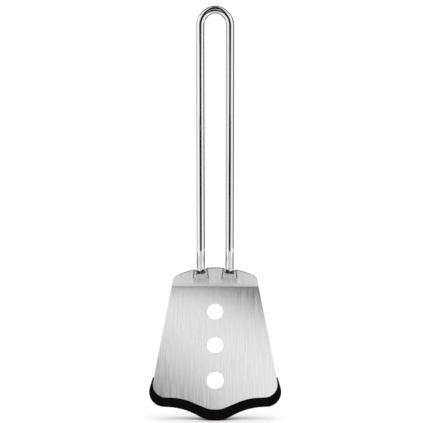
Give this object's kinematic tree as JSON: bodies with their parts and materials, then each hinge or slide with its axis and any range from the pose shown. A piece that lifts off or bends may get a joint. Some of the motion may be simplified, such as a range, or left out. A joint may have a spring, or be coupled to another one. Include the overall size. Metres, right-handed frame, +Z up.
{
  "type": "kitchen turner",
  "caption": "Kitchen turner with a looped wire handle, a folded steel blade with drain holes and a soft silicone edge, for lifting and turning food in a pan.",
  "frame": {"origin": "inside of the top of the handle's loop, where a hook carries the tool", "axes": "+Z up along the handle as it hangs, -Y out of the front face that carries the food, +X to the right seen from the front"},
  "size_m": [0.0996, 0.0232, 0.312],
  "materials": {
    "polished_wire": "polished stainless steel",
    "brushed_sheet": "brushed along the blade",
    "black_silicone": "matte moulded silicone",
    "weld_metal": "cleaned weld bead"
  },
  "bodies": {
    "root": {"wire_handle": "polished_wire", "blade": "brushed_sheet", "silicone_edge": "black_silicone", "weld_left": "weld_metal", "weld_right": "weld_metal"}
  },
  "joints": []
}
